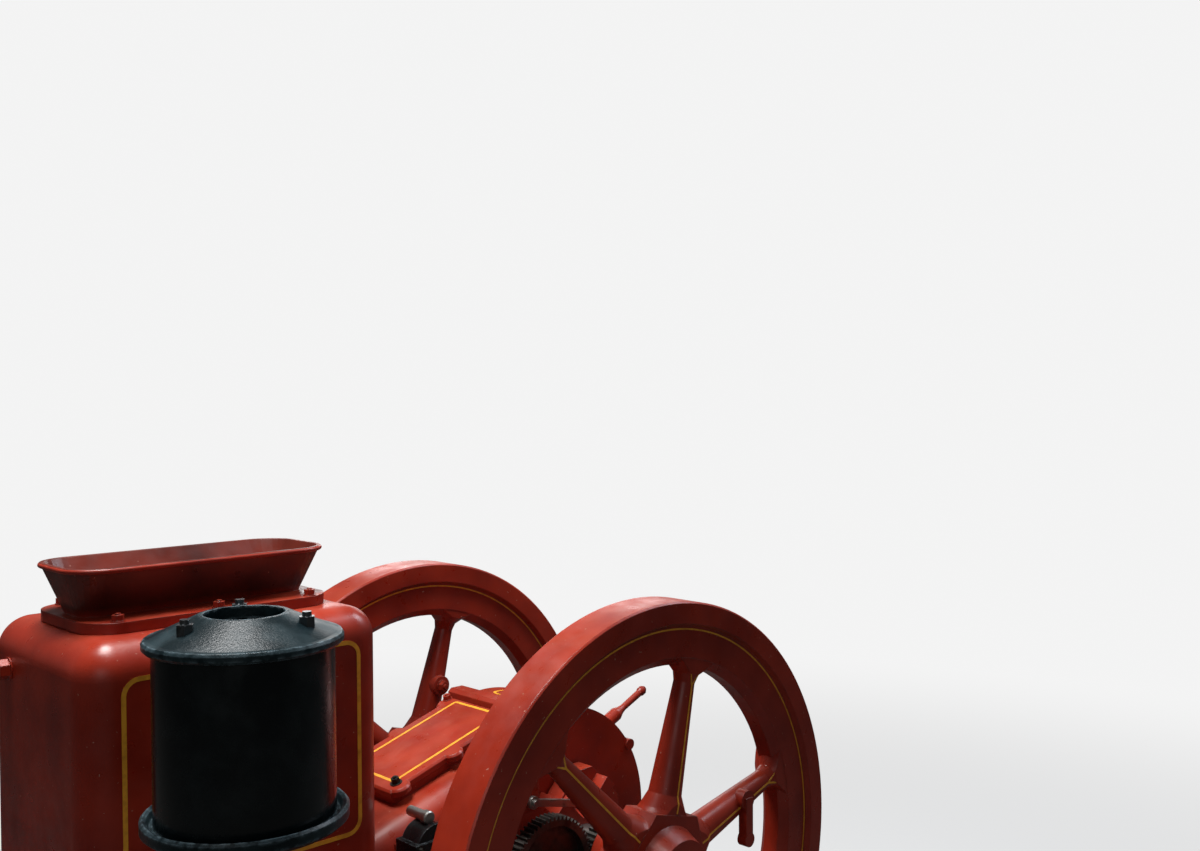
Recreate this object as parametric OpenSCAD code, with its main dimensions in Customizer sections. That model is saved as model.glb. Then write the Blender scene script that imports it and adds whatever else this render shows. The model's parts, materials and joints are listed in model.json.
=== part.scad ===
// Horizontal hopper-cooled stationary engine on a timber base.
// X runs from the cylinder head end (-X) to the crank end (+X), the gear side is -Y, and Z is up.
// The origin is on the floor under the middle of the base. Most places are given from the crank axle.

/* [Timber base] */
// Length of the two timber runners
skid_length = 1340; // [1280:10:1500]
// Width of a runner
skid_width = 88; // [70:2:110]
// Height of a runner
skid_height = 125; // [100:5:160]
// Distance between the runners' centre lines
skid_spacing = 250; // [230:5:280]
// Thickness of the timbers between the runners
cross_timber = 100; // [70:5:130]

/* [Crank line] */
// Height of the crank axle over the floor
axle_height = 525; // [520:1:600]
// Place of the crank axle along the base
axle_x = 255; // [235:1:270]
// Diameter of the crankshaft
shaft_d = 50.8; // [40:0.1:56]
// Stroke of the piston
stroke = 152; // [120:2:170]
// Distance from the middle of the engine to the shaft's ends
shaft_reach = 392; // [385:1:420]
// Diameter of the pulley seats turned on the shaft's ends
seat_d = 50; // [34:0.5:50.4]
// Radial clearance of the shaft in its bearings
running_gap = 0.05; // [0.02:0.01:0.09]

/* [Flywheels] */
// Outer diameter of a flywheel
wheel_d = 762; // [700:2:780]
// Width of the rim
rim_width = 67; // [50:1:90]
// Distance from the middle of the engine to a rim's inner face
rim_inset = 250; // [240:1:270]
// Radial width of the proud band round the rim
rim_band = 32; // [20:1:40]
// Depth of the recessed face inside that band
rim_recess = 8; // [4:1:14]
// Diameter of the opening inside the rim
rim_opening_d = 600; // [540:2:640]
// How far the rim's inside crowns towards the axle
rim_crown = 12; // [0:1:20]
// Number of spokes
spokes = 6; // [4:1:7]
// Angle of the first spoke above the +X direction
spoke_angle = 14.6; // [0:0.2:59]
// Diameter of a spoke at the hub
spoke_root_d = 57; // [40:1:62]
// Diameter of a spoke at the rim
spoke_tip_d = 28; // [22:1:40]
// Width of a spoke where it flares into the rim
spoke_flare = 100; // [60:2:110]
// Distance across the flats of the hub's web
hub_web = 156; // [140:2:180]
// Diameter of the hub boss at the web
hub_d = 130; // [110:1:136]
// Diameter of the hub boss at its end
hub_end_d = 104; // [84:1:110]
// How far the hub boss stands out of the rim's outer face
hub_proud = 32; // [10:1:45]

/* [Timing gears] */
// Module of the teeth
gear_module = 2.5; // [2:0.25:3]
// Number of teeth on the crank pinion
pinion_teeth = 30; // [24:2:32]
// Width of the cam gear
gear_width = 22; // [16:1:26]
// Distance from the middle of the engine to the gears' middle
gear_offset = 190; // [184:1:194]

/* [Bed] */
// Width of the bed across the bearings
bed_width = 260; // [240:2:280]
// Width of the foot flange
foot_width = 330; // [300:2:340]
// Thickness of the foot flange
foot_thick = 22; // [14:1:30]
// Length of the foot flange
foot_length = 900; // [860:10:960]
// Width of the crank pit
pit_width = 124; // [124:2:132]
// Radius of the crank pit
pit_r = 126; // [122:1:130]
// Slope of the bed's top towards the crank, in degrees
top_slope = 16.7; // [12:0.1:20]
// Radius along the edges of the bed's top
shoulder_r = 40; // [20:1:50]
// Height of the curb under the inclined cover
curb = 13; // [8:1:18]
// Outer end of the main bearings from the middle
bearing_end = 148; // [140:1:152]
// Diameter of the bolt holes through the foot
anchor_hole_d = 18; // [12:1:22]
// Distance between the bolt holes along the bed
anchor_x = 700; // [600:10:760]

/* [Hopper] */
// Length of the hopper along the engine
hopper_length = 384; // [340:2:400]
// Width of the hopper
hopper_width = 300; // [260:2:320]
// Height of the hopper's top over the axle
hopper_top = 405; // [360:1:440]
// Underside of the hopper casting below the axle
hopper_under = 130; // [110:1:150]
// Distance from the axle to the hopper's crank end
hopper_end = 358; // [350:1:380]
// Radius of the hopper's corners and top edges
hopper_r = 40; // [20:1:45]
// Wall thickness of the hopper
hopper_wall = 12; // [8:1:16]
// Outer diameter of the cylinder barrel inside the hopper
barrel_d = 165; // [150:1:180]

/* [Filler funnel] */
// Length of the funnel's rim
funnel_rim_x = 336; // [300:2:350]
// Width of the funnel's rim
funnel_rim_y = 146; // [110:2:170]
// Length of the neck at the flange
neck_x = 292; // [240:2:300]
// Width of the neck at the flange
neck_y = 74; // [60:2:110]
// Height of the funnel over its flange
funnel_rise = 60; // [40:1:90]
// Wall thickness of the funnel
funnel_wall = 5; // [3:0.5:8]
// Length of the flange
flange_x = 318; // [300:2:330]
// Width of the flange
flange_y = 188; // [150:2:220]
// Thickness of the flange
flange_thick = 13; // [6:1:16]

/* [Crank covers] */
// Half width of the inclined cover
cover_half = 72; // [72:1:80]
// Thickness of the inclined cover
cover_thick = 10; // [7:1:14]
// Height of the cover's top over the axle at its upper end
cover_top = 195; // [188:1:200]
// Half width of the arched hood
hood_half = 88; // [84:1:89]
// Radius of the hood round the axle
hood_r = 191; // [184:1:196]
// Wall thickness of the hood
hood_wall = 6; // [4:0.5:9]

/* [Cylinder head] */
// Length of the head along the engine
head_length = 62; // [50:1:80]
// Diameter of the head
head_d = 236; // [210:2:260]

/* [Exhaust pot] */
// Diameter of the pot's drum
drum_d = 188; // [160:2:200]
// Height of the drum
drum_height = 180; // [140:2:220]
// Diameter of the pot's lid
lid_d = 207; // [200:1:212]
// Diameter of the pot's base
base_d = 215; // [206:1:216]
// Height of the drum's foot over the axle
pot_z = 232; // [210:1:260]
// Distance from the axle to the pot's middle
pot_x = 624; // [600:1:640]
// Distance from the middle of the engine to the pot's middle
pot_y = 278; // [270:1:284]
// Diameter of the outlet in the lid
outlet_d = 84; // [50:1:100]

/* [Hidden] */

$fn = 64;
iron_red = "#a8453c";
pot_black = "#1d2422";
steel = "#8d8f8c";
brass = "#b08d4f";
timber = "#6b5a45";

shaft_r = shaft_d / 2;
wheel_r = wheel_d / 2;
throw_r = stroke / 2;
rim_outer = rim_inset + rim_width;
rim_mid = rim_inset + rim_width / 2;
spoke_y = rim_mid + 5;
web_half = 30;
hub_in = rim_inset - 36;
hub_out = rim_outer + hub_proud;
bed_bottom = skid_height - axle_height;
foot_x1 = 235;
foot_x0 = foot_x1 - foot_length;
foot_mid = (foot_x0 + foot_x1) / 2;
anchor_y = bed_width / 2 + (foot_width - bed_width) / 4;
pinion_r = pinion_teeth * gear_module / 2;
cam_r = 2 * pinion_r;
cam_x = -(pinion_r + cam_r);
hopper_x = -hopper_end - hopper_length / 2;
head_x = -hopper_end - hopper_length;
head_out = head_x - head_length;
funnel_x = hopper_x - 3;
neck_r = 22;
rim_r = 46;
port_z = 64;
port_r = 42;
port_rise = 6;
cock_x = head_x + 44;
cock_z = -30;
cock_y = hopper_under + 4;
saddle_z = -60;
seat_reach = 75;
seat_end = 92;
crank_web_in = 28;
crank_web_out = pit_width / 2 - 6;
cover_low = -hopper_end + 66;
cover_end = 4.5;
cover_long = cover_end - (cover_low + seat_reach) / cos(top_slope);
pin_gap = 0.05;
pit_back = 76;
oiler_x = -hopper_end + 24;
oiler_z = 12;
valve_y = 45;
valve_boss = 30;
valve_rise = 16;
inlet_r = 26;
inlet_rise = 12;
mixer_y = head_d / 2 + inlet_rise;
rocker_x = head_out - 48;
rocker_half = 7;
rocker_pivot_y = -100;
rocker_pin_r = 5;
cam_base = 26;
cam_lobe = 33;
rod_line_y = gear_width / 2 + 7 - gear_offset;
rod_r = 6;
stud_r = 12;
lever_x = -150;
lever_z = 108;
lever_y = -gear_offset - gear_width / 2 - 4;
lever_thick = 7;
base_thick = 12;
drum_wall = 3;
lid_rim = 12;
lid_rise = 34;
pot_stud_r = 5;
pot_ring = 70;
magneto_x = -hopper_end + 21;
magneto_y = -bed_width / 2 - 10;
key_size = 12;
seat_long = 24;
seat_relief = 2;
seat_start = shaft_reach - seat_long;
key_end = seat_start - seat_relief - 3;
weight_at = 196;

// Puts its children on the crank axle
module at_axle() {
    translate([axle_x, 0, axle_height]) children();
}

// Cylinder along Y from y0 to y1, round a line through x, z
module rod_y(r, y0, y1, x = 0, z = 0) {
    translate([x, y1, z]) rotate([90, 0, 0]) cylinder(r = r, h = y1 - y0);
}

// Cylinder along X from x0 to x1, round a line through y, z
module rod_x(r, x0, x1, y = 0, z = 0) {
    translate([x0, y, z]) rotate([0, 90, 0]) cylinder(r = r, h = x1 - x0);
}

// Box given by its two corners
module block(low, high) {
    translate(low) cube(high - low);
}

// Outline in the X-Z plane pulled along Y from y0 to y1
module slab_xz(points, y0, y1) {
    translate([0, y1, 0]) rotate([90, 0, 0]) linear_extrude(y1 - y0) polygon(points);
}

// Rectangle with round corners, centred
module round_rect(x, y, r) {
    union() {
        square([x - 2 * r, y], center = true);
        square([x, y - 2 * r], center = true);
        for (i = [-1, 1], j = [-1, 1])
            translate([i * (x / 2 - r), j * (y / 2 - r)]) circle(r);
    }
}

// Box with round upright corners and a rounded top, sitting on z = 0
module round_top_box(x, y, h, r) {
    linear_extrude(h - r) round_rect(x, y, r);
    translate([0, 0, h - r]) {
        translate([-(x / 2 - r), -(y / 2 - r), 0]) cube([x - 2 * r, y - 2 * r, r]);
        for (i = [-1, 1], j = [-1, 1])
            translate([i * (x / 2 - r), j * (y / 2 - r), 0]) sphere(r);
        for (j = [-1, 1]) rod_x(r, -(x / 2 - r), x / 2 - r, j * (y / 2 - r), 0);
        for (i = [-1, 1]) rod_y(r, -(y / 2 - r), y / 2 - r, i * (x / 2 - r), 0);
    }
}

// Mirrors a gear side piece to the plain side when side is 1
module on_side(side) {
    mirror([0, side > 0 ? 1 : 0, 0]) children();
}

module skid(side) {
    color(timber) difference() {
        block([-skid_length / 2, side * skid_spacing / 2 - skid_width / 2, 0],
              [skid_length / 2, side * skid_spacing / 2 + skid_width / 2, skid_height]);
        for (i = [-1, 1])
            translate([axle_x + foot_mid + i * anchor_x / 2, side * anchor_y, -1])
                cylinder(d = anchor_hole_d, h = skid_height + 2);
    }
}

module cross_timber_at(side) {
    gap = (skid_spacing - skid_width) / 2;
    mid = side * (skid_length / 2 - cross_timber);
    color(timber)
        block([mid - cross_timber / 2, -gap, 0], [mid + cross_timber / 2, gap, skid_height]);
}

// Height of the bed's sloping deck over the axle at a place x
function deck_z(x) =
    cover_top - (cover_thick + curb) / cos(top_slope) + (x + seat_reach) * tan(top_slope);

// Puts its children on the deck's upper end, with X up along the slope
module on_deck() {
    translate([-seat_reach, 0, deck_z(-seat_reach)]) rotate([0, -top_slope, 0]) children();
}

module engine_bed() {
    side = [
        [foot_x0 + 30, bed_bottom], [foot_x1 - 12, bed_bottom], [hood_r, -2 * seat_reach],
        [hood_r, -seat_reach], [seat_reach, -seat_reach], [-seat_reach, seat_reach],
        [-seat_reach, deck_z(-seat_reach)], [-hopper_end, deck_z(-hopper_end)],
        [-hopper_end, saddle_z], [foot_x0 + 40, saddle_z]];
    curb_half = cover_half - 4;
    color(iron_red) at_axle() difference() {
        union() {
            // Foot flange
            translate([foot_mid, 0, bed_bottom]) linear_extrude(foot_thick)
                round_rect(foot_length, foot_width, 24);
            // Body with rounded shoulders along the slope
            intersection() {
                slab_xz(side, -bed_width / 2, bed_width / 2);
                on_deck() translate([-1000, 0, 0]) rotate([90, 0, 90]) linear_extrude(1600)
                    translate([0, -500]) round_rect(bed_width, 1000, shoulder_r);
            }
            // Curb that carries the inclined cover
            on_deck() block([cover_end - cover_long + 3, -curb_half, -8], [-2, curb_half, curb]);
            // Main bearing bosses outside the walls
            for (s = [0, 1]) on_side(s) rotate([0, 45, 0])
                block([-seat_reach, -bearing_end, -60], [seat_reach, -bed_width / 2 + 1, 0]);
            // Boss for the oiler
            translate([oiler_x, 0, deck_z(oiler_x) - 20]) cylinder(r = 16, h = 20 + oiler_z);
        }
        // Saddle under the cylinder jacket
        rod_x(hopper_under, head_x - 10, -hopper_end);
        // Crank pit, open to the top
        rod_y(pit_r, -pit_width / 2, pit_width / 2);
        block([-hopper_end + pit_back, -pit_width / 2, -90], [0, pit_width / 2, 400]);
        block([-1, -pit_width / 2, -30], [pit_r, pit_width / 2, 400]);
        // Shaft bore through both walls
        rod_y(shaft_r + running_gap, -400, 400);
        // Bolt holes
        for (i = [-1, 1], j = [-1, 1])
            translate([foot_mid + i * anchor_x / 2, j * anchor_y, bed_bottom - 1])
                cylinder(d = anchor_hole_d, h = foot_thick + 2);
    }
}

module bearing_cap(side) {
    ear = 24;
    cap_out = bearing_end - 24;
    rib = 11;
    color(iron_red) at_axle() on_side(side) difference() {
        rotate([0, 45, 0]) {
            block([-seat_reach, -bearing_end, 0], [seat_reach, -seat_end, ear]);
            slab_xz([[-62, ear - 1], [-62, 78], [-40, 100], [40, 100], [62, 78], [62, ear - 1]],
                    -cap_out, -seat_end);
            block([-14 - rib, -bearing_end, ear - 1], [-14 + rib, -cap_out + 1, 97]);
        }
        rod_y(shaft_r + running_gap, -400, 400);
    }
}

// The hopper casting's outer form, drawn in by an inset
module hopper_form(inset) {
    waist_high = 90;
    waist_low = 44;
    neck_half = 112;
    foot_z = -40;
    half = hopper_width / 2 - inset;
    union() {
        difference() {
            translate([hopper_x, 0, foot_z])
                round_top_box(hopper_length - 2 * inset, hopper_width - 2 * inset,
                              hopper_top - foot_z - inset, hopper_r - inset);
            // Flanks drawn in towards the cylinder jacket
            for (s = [0, 1]) on_side(s) translate([head_x - 10, 0, 0]) rotate([90, 0, 90])
                linear_extrude(hopper_length + 20)
                    polygon([[-half - 1, foot_z - 1], [-neck_half + inset, foot_z - 1],
                             [-neck_half + inset, waist_low], [-half - 1, waist_high]]);
        }
        rod_x(hopper_under - inset, head_x + inset, -hopper_end - inset);
    }
}

module water_hopper() {
    color(iron_red) at_axle() {
        difference() {
            union() {
                hopper_form(0);
                // Pads for the exhaust port and the drain cock
                rod_y(port_r, -hopper_width / 2 - port_rise, -hopper_under + 30, -pot_x, port_z);
                rod_y(14, 0, cock_y, cock_x, cock_z);
            }
            difference() {
                hopper_form(hopper_wall);
                rod_x(barrel_d / 2, head_x - 1, -hopper_end + 1);
                rod_y(port_r, -hopper_width / 2, 0, -pot_x, port_z);
            }
            translate([funnel_x, 0, hopper_top - hopper_wall - 1])
                linear_extrude(hopper_wall + 2)
                    round_rect(neck_x - 2 * funnel_wall, neck_y - 2 * funnel_wall, neck_r - funnel_wall);
        }
    }
}

// Thin slice of the funnel's form at a height
module funnel_slice(x, y, r, z) {
    translate([0, 0, z]) linear_extrude(0.1) round_rect(x, y, r, $fn = 32);
}

module hopper_funnel() {
    color(iron_red) at_axle() translate([funnel_x, 0, hopper_top]) {
        difference() {
            union() {
                linear_extrude(flange_thick) round_rect(flange_x, flange_y, 45);
                hull() {
                    funnel_slice(neck_x, neck_y, neck_r, flange_thick);
                    funnel_slice(funnel_rim_x, funnel_rim_y, rim_r, flange_thick + funnel_rise - 0.1);
                }
            }
            translate([0, 0, -1]) linear_extrude(flange_thick + 1.2)
                round_rect(neck_x - 2 * funnel_wall, neck_y - 2 * funnel_wall, neck_r - funnel_wall);
            hull() {
                funnel_slice(neck_x - 2 * funnel_wall, neck_y - 2 * funnel_wall, neck_r - funnel_wall,
                             flange_thick);
                funnel_slice(funnel_rim_x - 2 * funnel_wall, funnel_rim_y - 2 * funnel_wall,
                             rim_r - funnel_wall, flange_thick + funnel_rise);
            }
        }
    }
}

module crank_cover() {
    bevel = 3;
    flat = cover_thick - bevel;
    ear_r = 16;
    ears = [ear_r + 2, cover_long / 2, cover_long - ear_r - 2];
    color(iron_red) at_axle() on_deck() translate([cover_end - cover_long, 0, curb]) {
        block([0, -cover_half, 0], [cover_long, cover_half, flat]);
        for (x = ears, y = [-cover_half + 4, cover_half - 4]) translate([x, y, 0]) {
            cylinder(r = ear_r, h = flat);
            translate([0, 0, flat]) cylinder(r1 = ear_r, r2 = ear_r - bevel, h = bevel);
        }
        translate([0, 0, flat]) intersection() {
            slab_xz([[0, 0], [cover_long, 0], [cover_long - bevel, bevel], [bevel, bevel]],
                    -cover_half, cover_half);
            rotate([90, 0, 90]) linear_extrude(cover_long)
                polygon([[-cover_half, 0], [cover_half, 0], [cover_half - bevel, bevel],
                         [-cover_half + bevel, bevel]]);
        }
    }
}

// Side outline of the hood's space: round the axle, straight below it
module hood_space(r) {
    circle(r, $fn = 96);
    translate([0, -seat_reach - 1]) square([r, seat_reach + 1]);
}

module crank_hood() {
    bead_at = 32;
    bead_r = 9;
    far = 2 * hood_r;
    color(iron_red) at_axle() difference() {
        union() {
            translate([0, hood_half, 0]) rotate([90, 0, 0]) linear_extrude(2 * hood_half)
                difference() {
                    hood_space(hood_r);
                    // Away from the inclined cover and below the joint
                    translate([-far, -far]) square([far - seat_reach + 1, 2 * far]);
                    polygon([[-far, far], [seat_reach, -seat_reach], [seat_reach, -far], [-far, -far]]);
                    translate([seat_reach - 1, -far]) square([far, far - seat_reach]);
                }
            // Strap beside the cover, and the bead across the front
            slab_xz([[1 - seat_reach, 172], [1 - seat_reach, 200], [-68, 205], [-46, 205],
                     [-22, 192], [-22, 182]], -hood_half, hood_half);
            rod_y(bead_r, -hood_half - 3, hood_half + 3, hood_r * cos(bead_at), hood_r * sin(bead_at));
        }
        translate([0, hood_half - hood_wall, 0]) rotate([90, 0, 0])
            linear_extrude(2 * (hood_half - hood_wall)) hood_space(hood_r - hood_wall);
        rod_y(shaft_r + 8, -400, 400);
    }
}

module hood_handle() {
    lean = 66;
    place = 48;
    color(iron_red) at_axle() translate([hood_r * cos(place), -72, hood_r * sin(place)])
        difference() {
            rotate([0, lean, 0]) rotate_extrude()
                polygon([[0, -20], [11, -20], [11, 22], [7, 32], [5.5, 40], [6, 82], [7.5, 86],
                         [7.5, 92], [4, 97], [0, 97]]);
            translate([-hood_r * cos(place), 72, -hood_r * sin(place)])
                rod_y(hood_r, -hood_half - 1, hood_half + 1, $fn = 96);
        }
}

module cylinder_head() {
    color(iron_red) at_axle() {
        rod_x(head_d / 2, head_out, head_x);
        // Valve bosses on the outer face
        for (i = [-1, 1]) rod_x(valve_boss, head_out - valve_rise, head_out + 1, i * valve_y, 0);
        // Inlet boss on the plain side
        rod_y(inlet_r, 0, head_d / 2 + inlet_rise, head_x - head_length / 2, 0);
    }
}

module rocker_bracket() {
    ear = 12;
    color(iron_red) at_axle() difference() {
        block([rocker_x - 16, rocker_pivot_y - ear, -34], [head_out, rocker_pivot_y + ear, 34]);
        block([rocker_x - 20, rocker_pivot_y - 40, -rocker_half - 1],
              [rocker_x + 18, rocker_pivot_y + 40, rocker_half + 1]);
        translate([rocker_x, rocker_pivot_y, -40]) cylinder(r = rocker_pin_r + pin_gap, h = 80);
    }
}

// Lever between the push rod and the exhaust valve, on an upright pin
module rocker_arm() {
    tip_y = -valve_y;
    color(steel) at_axle() {
        block([rocker_x - 6, rod_line_y, -rocker_half], [rocker_x + 6, tip_y, rocker_half]);
        for (y = [rod_line_y, tip_y])
            translate([rocker_x, y, -rocker_half]) cylinder(r = 10, h = 2 * rocker_half);
        translate([rocker_x, rocker_pivot_y, -rocker_half]) cylinder(r = 12, h = 2 * rocker_half);
        // Pin through the bracket
        translate([rocker_x, rocker_pivot_y, -40]) cylinder(r = rocker_pin_r, h = 80);
    }
}

// Valve stem with its closed spring and spring cup, from x1 to x0
module valve(y, x1, x0) {
    spring_r = 17;
    coil = 4;
    cup = 5;
    cup_x = x1 + 3;
    coils = round((x0 - cup_x - cup) / coil);
    step = (x0 - cup_x - cup + 0.5) / coils;
    rod_x(5, x1, x0, y, 0);
    rod_x(18, cup_x, cup_x + cup, y, 0);
    translate([x0, y, 0]) rotate([0, -90, 0]) rotate_extrude()
        polygon(concat([[0, 0]],
                       [for (i = [0:coils - 1], p = [[-1.6, 0], [0, 0.3], [0, 0.7], [-1.6, 1]])
                            [spring_r + p[0], (i + p[1] * 0.98) * step]],
                       [[0, (coils - 0.02) * step]]));
}

module exhaust_valve() {
    color(steel) at_axle() valve(-valve_y, rocker_x + 10, head_out - valve_rise);
}

module intake_valve_cage() {
    color(iron_red) at_axle() {
        rod_x(26, head_out - valve_rise - 10, head_out - valve_rise, valve_y, 0);
        valve(valve_y, head_out - 60, head_out - valve_rise - 9);
    }
}

module push_rod() {
    roller_r = 9;
    roller_x = cam_x - cam_lobe - roller_r - 2;
    color(steel) at_axle() {
        rod_x(rod_r, rocker_x + 10, roller_x - 4, rod_line_y, 0);
        block([roller_x - 14, rod_line_y - 7, -8], [roller_x + 2, rod_line_y + 7, 8]);
        rod_y(roller_r, rod_line_y - 6, rod_line_y + 6, roller_x, 0);
    }
}

// Bracket on the bed that carries the push rod
module push_rod_guide() {
    guide_x = -hopper_end + 150;
    color(iron_red) at_axle() difference() {
        union() {
            block([guide_x - 14, rod_line_y, -12], [guide_x + 14, -bed_width / 2, 12]);
            rod_x(15, guide_x - 14, guide_x + 14, rod_line_y, 0);
        }
        rod_x(rod_r + pin_gap, guide_x - 20, guide_x + 20, rod_line_y, 0);
    }
}

module governor_bracket() {
    color(iron_red) at_axle() {
        slab_xz([[lever_x - 22, lever_z - 14], [lever_x + 16, lever_z - 14], [lever_x + 16, lever_z + 6],
                 [lever_x + 6, lever_z + 26], [lever_x - 8, lever_z + 26]],
                lever_y + lever_thick, -bed_width / 2);
    }
}

// Bar from its pivot to over the governor's sleeve
module governor_lever() {
    tip_x = -62;
    tip_z = 86;
    long = norm([tip_x - lever_x, tip_z - lever_z]);
    drop = atan2(lever_z - tip_z, tip_x - lever_x);
    color(steel) at_axle() translate([lever_x, lever_y, lever_z]) rotate([0, drop, 0]) {
        block([0, 0, -5], [long, lever_thick, 5]);
        rod_y(9, 0, lever_thick);
        rod_y(7, 0, lever_thick, long, 0);
        rod_y(5, -5, 0);
    }
}

module cam_gear_stud() {
    color(steel) at_axle() {
        rod_y(stud_r, -gear_offset - gear_width / 2 - 4, -bed_width / 2, cam_x, 0);
        rod_y(stud_r + 6, -gear_offset - gear_width / 2 - 12, -gear_offset - gear_width / 2 - 4, cam_x, 0);
    }
}

// Outline of a gear with straight-sided teeth
module gear_outline(teeth, m) {
    r = teeth * m / 2;
    tip = r + 0.8 * m;
    root = r - 1.15 * m;
    pitch = 360 / teeth;
    polygon([for (i = [0:teeth - 1], p = [[root, -0.34], [tip, -0.13], [tip, 0.13], [root, 0.34]])
        [p[0] * cos((i + p[1]) * pitch), p[0] * sin((i + p[1]) * pitch)]]);
}

module crank_pinion() {
    color(steel) at_axle() difference() {
        translate([0, -gear_offset + gear_width / 2, 0]) rotate([90, 0, 0])
            linear_extrude(gear_width) gear_outline(pinion_teeth, gear_module);
        rod_y(shaft_r + running_gap, -400, 400);
    }
}

module cam_gear() {
    half_tooth = 90 / pinion_teeth;
    web = 8;
    y0 = -gear_offset - gear_width / 2;
    color(steel) at_axle() translate([cam_x, 0, 0]) difference() {
        union() {
            translate([0, -gear_offset + gear_width / 2, 0]) rotate([90, half_tooth, 0])
                linear_extrude(gear_width) gear_outline(2 * pinion_teeth, gear_module);
            // Cam on the inner face
            rod_y(cam_base, -gear_offset + gear_width / 2, rod_line_y + 8);
            rod_y(cam_lobe - 14, -gear_offset + gear_width / 2, rod_line_y + 8, 0, 14);
        }
        // Dished web
        difference() {
            rod_y(cam_r - 12, y0 - 1, y0 + gear_width - web);
            rod_y(22, y0 - 2, y0 + gear_width);
        }
        rod_y(stud_r + running_gap, -400, 0);
    }
}

// Bent pipe from the pot's base down and across to the port
module exhaust_elbow() {
    pipe_r = 30;
    bend_r = 52;
    flange = 12;
    port_face = -hopper_width / 2 - port_rise;
    color(iron_red) at_axle() translate([-pot_x, 0, 0]) {
        translate([0, -pot_y, port_z + bend_r]) {
            cylinder(r = pipe_r, h = pot_z - base_thick - port_z - bend_r);
            translate([0, bend_r, 0]) rotate([-90, 0, 0]) rotate([0, 90, 0])
                rotate_extrude(angle = 90) translate([bend_r, 0]) circle(pipe_r);
        }
        rod_y(pipe_r, -pot_y + bend_r, port_face, 0, port_z);
        rod_y(port_r, port_face - flange, port_face, 0, port_z);
    }
}

module pot_base() {
    color(pot_black) at_axle() translate([-pot_x, -pot_y, pot_z]) {
        translate([0, 0, -base_thick]) rotate_extrude()
            polygon([[0, 0], [base_d / 2 - 6, 0], [base_d / 2, 5], [base_d / 2, base_thick + 3],
                     [base_d / 2 - 3, base_thick + 6], [base_d / 2 - 7, base_thick + 4],
                     [base_d / 2 - 10, base_thick - 3], [drum_d / 2, base_thick - 3],
                     [drum_d / 2, base_thick], [0, base_thick]]);
    }
}

module pot_drum() {
    color(pot_black) at_axle() translate([-pot_x, -pot_y, pot_z]) difference() {
        cylinder(d = drum_d, h = drum_height);
        translate([0, 0, -1]) cylinder(r = drum_d / 2 - drum_wall, h = drum_height + 2);
    }
}

// Profile of the lid from its outlet out to the rolled rim
module lid_profile() {
    inner = outlet_d / 2;
    polygon([[inner, lid_rise], [outlet_d / 2 + 5, lid_rise], [lid_d / 2 - 7, lid_rim],
             [lid_d / 2 - 2, lid_rim - 1], [lid_d / 2, lid_rim - 4], [lid_d / 2, 3],
             [lid_d / 2 - 3, 0], [drum_d / 2 - drum_wall, 0],
             [inner + 5, lid_rise - 14], [inner, lid_rise - 14]]);
}

// Puts its children on each of the pot's studs
module at_pot_studs() {
    for (a = [66:120:306])
        translate([-pot_x + pot_ring * cos(a), -pot_y + pot_ring * sin(a), 0]) children();
}

module pot_lid() {
    color(pot_black) at_axle() difference() {
        translate([-pot_x, -pot_y, pot_z + drum_height]) rotate_extrude() lid_profile();
        at_pot_studs() translate([0, 0, pot_z]) cylinder(r = pot_stud_r + pin_gap, h = 2 * drum_height);
    }
}

// Long studs from the base up through the lid, with their nuts on its slope
module pot_studs() {
    nut_r = 9;
    nut_top = 32;
    color(steel) at_axle() difference() {
        at_pot_studs() translate([0, 0, pot_z]) {
            cylinder(r = pot_stud_r, h = drum_height + nut_top + 5);
            translate([0, 0, drum_height]) cylinder(r = nut_r, h = nut_top, $fn = 6);
        }
        difference() {
            translate([-pot_x, -pot_y, pot_z + drum_height]) rotate_extrude()
                polygon([[0, -1], [drum_d / 2 - drum_wall, -1], [lid_d / 2 - 7, lid_rim],
                         [outlet_d / 2 + 5, lid_rise], [0, lid_rise]]);
            at_pot_studs() translate([0, 0, pot_z]) cylinder(r = pot_stud_r, h = 2 * drum_height);
        }
        difference() {
            translate([-pot_x, -pot_y, pot_z]) cylinder(d = drum_d, h = drum_height);
            at_pot_studs() translate([0, 0, pot_z - 1]) cylinder(r = pot_stud_r, h = 2 * drum_height);
        }
    }
}

module fuel_mixer() {
    body_r = 24;
    color(brass) at_axle() translate([head_x - head_length / 2, mixer_y, 0]) {
        rod_y(34, 0, 8);
        rod_y(18, 7, 46);
        translate([0, 60, -34]) cylinder(r = body_r, h = 70);
        translate([0, 60, 36]) cylinder(r = 12, h = 16);
        translate([0, 60, -46]) cylinder(r = 8, h = 13);
        rod_x(16, -60, 0, 60, 0);
        rod_x(22, -68, -59, 60, 0);
    }
}

module fuel_pipe() {
    pipe_r = 5;
    bend_r = 20;
    x = head_x - head_length / 2;
    y = mixer_y + 60;
    low = -230;
    color(brass) at_axle() {
        translate([x, y, low + bend_r]) cylinder(r = pipe_r, h = -46 - low - bend_r);
        translate([x + bend_r, y, low + bend_r]) rotate([-90, 0, 0]) rotate([0, 0, 90])
            rotate_extrude(angle = 90) translate([bend_r, 0]) circle(pipe_r, $fn = 24);
        rod_x(pipe_r, x + bend_r, foot_x0 + 100, y, low);
        translate([foot_x0 + 100, y - bend_r, low]) rotate_extrude(angle = 90)
            translate([bend_r, 0]) circle(pipe_r, $fn = 24);
        rod_y(pipe_r, bed_width / 2, y - bend_r, foot_x0 + 100 + bend_r, low);
    }
}

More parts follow.
